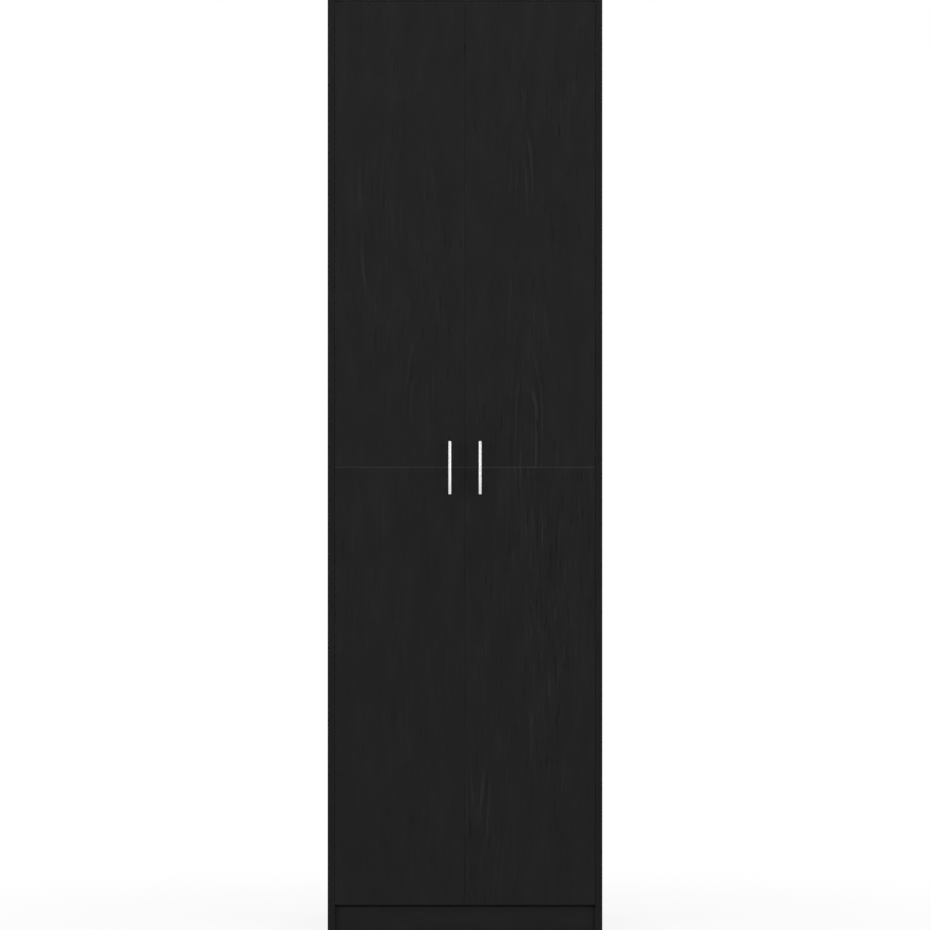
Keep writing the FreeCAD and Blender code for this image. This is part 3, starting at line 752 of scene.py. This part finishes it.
SOCKET_PLATE = 2.5 * MM
SOCKET_SCREW_REACH = 24.0 * MM
SOCKET_SCREW = (3.4 * MM, 1.8 * MM)  # radius and height of the head
BRACKET_SHEET = 2.0 * MM
BRACKET_SCREW_REACH = 11.0 * MM
CAP_RADIUS = 8.5 * MM
CAP_FROM_SIDE = 34.0 * MM
CAP_FROM_EDGE = 40.0 * MM
CAP_PROFILE = ((0.0, 1.0), (0.4 * MM, 1.0), (0.8 * MM, 0.93), (1.0 * MM, 0.82), (1.05 * MM, 0.60))


def socket_screws():
    """Two screws in each socket plate of the hanging rail."""
    low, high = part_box("rail_sockets")
    centre = (low + high) / 2
    work = bmesh.new()
    for inner, sign in ((INNER_LEFT, 1), (INNER_RIGHT, -1)):
        for up_or_down in (-1, 1):
            height = centre.z + up_or_down * SOCKET_SCREW_REACH
            place = (inner + sign * SOCKET_PLATE, centre.y, height)
            screw_head(work, place, (sign, 0, 0), *SOCKET_SCREW)
    new_piece("rail_socket_screws", work, BRIGHT_STEEL, "carcass")


def bracket_screws():
    """Two screws that hold the wall bracket up under the top panel."""
    low, high = BRACKET
    centre = (low + high) / 2
    work = bmesh.new()
    for sign in (-1, 1):
        place = (centre.x + sign * BRACKET_SCREW_REACH, centre.y - BRACKET_SHEET,
                 TOP[0].z - BRACKET_SHEET)
        screw_head(work, place, (0, 0, -1), *SOCKET_SCREW)
    new_piece("wall_bracket_screws", work, BRIGHT_STEEL, "carcass")


def cam_caps():
    """Round plastic caps over the cam fittings, under the fixed boards."""
    profile = [(along, part * CAP_RADIUS) for along, part in CAP_PROFILE]
    for node, (low, high) in (("top_panel", TOP), ("hat_shelf", HAT_SHELF),
                              ("bottom_panel", BOTTOM)):
        work = bmesh.new()
        for x in (low.x + CAP_FROM_SIDE, high.x - CAP_FROM_SIDE):
            for y in (low.y + CAP_FROM_EDGE, high.y - CAP_FROM_EDGE):
                turned(work, (x, y, low.z), (0, 0, -1), profile)
        new_piece(f"{node}_cam_caps", work, BLACK_PLASTIC, "carcass", 50)


# ---------------------------------------------------------------- nails of the back

NAIL_RADIUS = 1.7 * MM
NAIL_PROFILE = ((0.0, 1.0), (0.15 * MM, 1.0), (0.35 * MM, 0.75), (0.42 * MM, 0.35))
NAILS_PER_ROW = 6
NAIL_MARGIN = 30.0 * MM


def back_nails():
    """Nails through the hardboard into the back edges of the fixed boards."""
    work = bmesh.new()
    profile = [(along, part * NAIL_RADIUS) for along, part in NAIL_PROFILE]
    first, last = INNER_LEFT + NAIL_MARGIN, INNER_RIGHT - NAIL_MARGIN
    for low, high in (TOP, HAT_SHELF, BOTTOM):
        for number in range(NAILS_PER_ROW):
            x = first + (last - first) * number / (NAILS_PER_ROW - 1)
            place = (x, BACK[1].y, (low.z + high.z) / 2)
            turned(work, place, (0, 1, 0), profile, segments=16)
    new_piece("back_nails", work, BRIGHT_STEEL, "carcass")


# ---------------------------------------------------------------- soft stops

# parts of the pad's thickness and half width
PAD_SHAPE = ((0.0, 1.0), (0.30, 1.0), (0.62, 0.95), (0.84, 0.84), (0.96, 0.64), (1.0, 0.36))
PAD_BULGE = 5.0


def soft_stops():
    """Crowned felt pads with rounded corners on the backs of the doors."""
    for side, _ in SIDES:
        work = bmesh.new()
        for low, high in solids_of(f"{side}_door_bumpers"):
            centre = (low + high) / 2
            thick, half = high.y - low.y, (high.x - low.x) / 2
            profile = [(along * thick, part * half) for along, part in PAD_SHAPE]
            turned(work, (centre.x, low.y, centre.z), (0, 1, 0), profile, 40, PAD_BULGE)
        pads = new_piece(f"{side}_door_pads", work, BLACK_FELT, f"{side}_door", 60)
        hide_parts(f"{side}_door_bumpers")


# ---------------------------------------------------------------- boards

PEG_STEP = 32.0 * MM
SPARE_STEPS = (-3, -2, -1, 1, 2, 3)
PEG_HOLE_DEPTH = 10.0 * MM
DRILL_OUTSIDE = 2 * MM
EDGE_TOLERANCE = 0.05 * MM
EDGING_ROUND = 0.6 * MM
FLAT_ANGLE = 0.01


def spare_holes(sign):
    """The spare peg holes of one side panel: depth, height and radius of each."""
    holes = []
    for low, high in solids_of("shelf_pegs"):
        centre = (low + high) / 2
        if centre.x * sign > 0:
            for step in SPARE_STEPS:
                holes.append((centre.y, centre.z + step * PEG_STEP, (high.z - low.z) / 2))
    return holes


def drilled(node, inner, sign, holes):
    """Mesh of a side panel with the holes in its inner face."""
    work = bmesh.new()
    for y, z, radius in holes:
        profile = [(-DRILL_OUTSIDE, radius), (PEG_HOLE_DEPTH, radius)]
        turned(work, (inner, y, z), (sign, 0, 0), profile, segments=24)
    bmesh.ops.recalc_face_normals(work, faces=work.faces)
    drill = bpy.data.objects.new("drill", mesh_of(work, "drill"))
    whole = bpy.data.objects.new("whole_side", mesh_of(joined_copy(node), "whole_side"))
    forget_cad_shading(whole.data)
    for item in (drill, whole):
        bpy.context.scene.collection.objects.link(item)
    cut = whole.modifiers.new("spare_holes", "BOOLEAN")
    cut.operation, cut.solver, cut.object = "DIFFERENCE", "EXACT", drill
    seen = whole.evaluated_get(bpy.context.evaluated_depsgraph_get())
    data = bpy.data.meshes.new_from_object(seen)
    for item in (drill, whole):
        bpy.data.objects.remove(item)
    return data


def drilled_sides():
    """Side panels with the spare peg holes, and raw chipboard in the holes and on hidden edges."""
    for side, sign in SIDES:
        node = f"{side}_side_panel"
        inner = (INNER_LEFT, INNER_RIGHT)[sign > 0]
        holes = spare_holes(sign)
        data = drilled(node, inner, sign, holes)
        decor = NODES[node].data.materials[0]
        panel = place_piece(f"{side}_side_drilled", data, decor, "carcass", 30)
        data.materials.append(RAW_EDGE)
        for polygon in data.polygons:
            centre = polygon.center
            on_back_edge = centre.y > LEFT_SIDE[1].y - EDGE_TOLERANCE
            on_foot = centre.z < LEFT_SIDE[0].z + EDGE_TOLERANCE
            in_hole = abs(centre.x - inner) > EDGE_TOLERANCE and any(
                math.hypot(centre.y - y, centre.z - z) < 1.1 * radius for y, z, radius in holes)
            if on_back_edge or on_foot or in_hole:
                polygon.material_index = 1
        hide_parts(f"{side}_side_panel")


def edged_boards():
    """Boards whose long front edges are rounded, as glued edging is."""
    for node, (_, slot) in BOARDS.items():
        low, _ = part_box(node)
        work = joined_copy(node)
        bmesh.ops.dissolve_limit(
            work, angle_limit=FLAT_ANGLE, verts=work.verts, edges=work.edges)
        front = [edge for edge in work.edges
                 if all(abs(end.co.y - low.y) < EDGE_TOLERANCE for end in edge.verts)
                 and abs(edge.verts[0].co.x - edge.verts[1].co.x) > BOARD]
        bmesh.ops.bevel(
            work, geom=front, offset=EDGING_ROUND, segments=3, profile=0.5, affect="EDGES")
        bmesh.ops.recalc_face_normals(work, faces=work.faces)
        data = mesh_of(work, f"{node}_edged")
        forget_cad_shading(data)
        decor = NODES[node].data.materials[0]
        board = place_piece(f"{node}_edged", data, decor, "carcass", 40)
        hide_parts(node)


edged_boards()
handles()
socket_screws()
bracket_screws()
cam_caps()
back_nails()
soft_stops()
drilled_sides()


# ---------------------------------------------------------------- studio

FLOOR_REACH = 4.0
FLOOR_PAINT = (0.86, 0.86, 0.86, 1.0)
WHITE = (1.0, 1.0, 1.0, 1.0)
NEAR_WHITENESS = 0.86
SHADOW_FROM = 0.45
SHADOW_TO = 1.8
ROOM_LIGHT = 0.45
CROPPED_TOP = 3.4 * MM
CROPPED_FOOT = 2.8 * MM
CAMERA_LENS = 200.0
CAMERA_SENSOR = 36.0
CAMERA_SIGHT = 200.0

# place, width, height and power of each lamp
LAMPS = {
    "lamp_left": ((-3.2, -3.6, 1.4), 1.6, 2.4, 50.0),
    "lamp_right": ((3.2, -3.6, 1.4), 1.6, 2.4, 50.0),
    "lamp_above": ((0.0, -2.2, 4.6), 3.0, 1.6, 50.0),
    "lamp_back": ((0.0, 4.0, 3.4), 3.0, 2.0, 90.0),
}


def seen_directly(tree):
    """1 for a ray that shows the background itself, or its image in metal or glass, else 0."""
    path = tree.nodes.new("ShaderNodeLightPath")
    seen = path.outputs["Is Camera Ray"]
    for kind in ("Is Glossy Ray", "Is Transmission Ray"):
        either = tree.nodes.new("ShaderNodeMath")
        either.operation = "MAXIMUM"
        tree.links.new(seen, either.inputs[0])
        tree.links.new(path.outputs[kind], either.inputs[1])
        seen = either.outputs[0]
    return seen


def floor():
    """Pale floor that keeps a soft shadow near the object and runs into the white background."""
    work = bmesh.new()
    bmesh.ops.create_circle(work, cap_ends=True, segments=96, radius=FLOOR_REACH)
    data = mesh_of(work, "studio_floor")
    item = bpy.data.objects.new("studio_floor", data)
    bpy.context.scene.collection.objects.link(item)

    graph = Graph("floor_paint", Roughness=0.9, Specular_IOR_Level=0.0)
    graph.shader.inputs["Base Color"].default_value = FLOOR_PAINT
    glow = graph.add("Emission", {"Color": WHITE, "Strength": 1.0})
    out = graph.add("VectorMath", {0: graph.point}, operation="LENGTH").outputs["Value"]
    whiteness = graph.smooth(out, SHADOW_FROM, SHADOW_TO, NEAR_WHITENESS, 1.0)
    mixed = graph.product(seen_directly(graph.tree), whiteness)
    mix = graph.add("MixShader", {0: mixed, 1: graph.shader.outputs[0], 2: glow.outputs[0]})
    graph.tree.links.new(mix.outputs[0], graph.tree.nodes["Material Output"].inputs["Surface"])
    data.materials.append(graph.material)


def world():
    """White where it is seen or mirrored, and a plain pale light on everything else."""
    room = bpy.data.worlds.new("studio_room")
    bpy.context.scene.world = room
    room.use_nodes = True
    tree = room.node_tree
    tree.nodes.clear()
    level = tree.nodes.new("ShaderNodeMapRange")
    tree.links.new(seen_directly(tree), level.inputs["Value"])
    level.inputs["To Min"].default_value = ROOM_LIGHT
    level.inputs["To Max"].default_value = 1.0
    white = tree.nodes.new("ShaderNodeBackground")
    white.inputs["Color"].default_value = WHITE
    tree.links.new(level.outputs["Result"], white.inputs["Strength"])
    output = tree.nodes.new("ShaderNodeOutputWorld")
    tree.links.new(white.outputs[0], output.inputs["Surface"])


def lamps():
    """Soft boxes, all turned to the middle of the object."""
    heart = Vector((0.0, 0.0, CAD_BOX[1].z / 2))
    for name, (place, width, height, power) in LAMPS.items():
        data = bpy.data.lights.new(name, "AREA")
        data.shape = "RECTANGLE"
        data.size, data.size_y = width, height
        data.energy = power
        lamp = bpy.data.objects.new(name, data)
        lamp.location = place
        lamp.rotation_mode = "QUATERNION"
        lamp.rotation_quaternion = (heart - Vector(place)).to_track_quat("-Z", "Y")
        bpy.context.scene.collection.objects.link(lamp)


def camera():
    """Straight in front, so far off that the object fills the picture's height."""
    data = bpy.data.cameras.new("front_camera")
    data.lens = CAMERA_LENS
    data.sensor_width = CAMERA_SENSOR
    data.clip_end = CAMERA_SIGHT
    low = PLINTH[0].z + CROPPED_FOOT
    high = TOP[1].z - CROPPED_TOP
    off = (high - low) / 2 * CAMERA_LENS / (CAMERA_SENSOR / 2)
    item = bpy.data.objects.new("front_camera", data)
    item.location = (0.0, LEFT_SIDE[0].y - off, (low + high) / 2)
    item.rotation_euler = (math.pi / 2, 0.0, 0.0)
    bpy.context.scene.collection.objects.link(item)
    bpy.context.scene.camera = item


floor()
world()
lamps()
camera()
bpy.context.scene.view_settings.view_transform = "Standard"
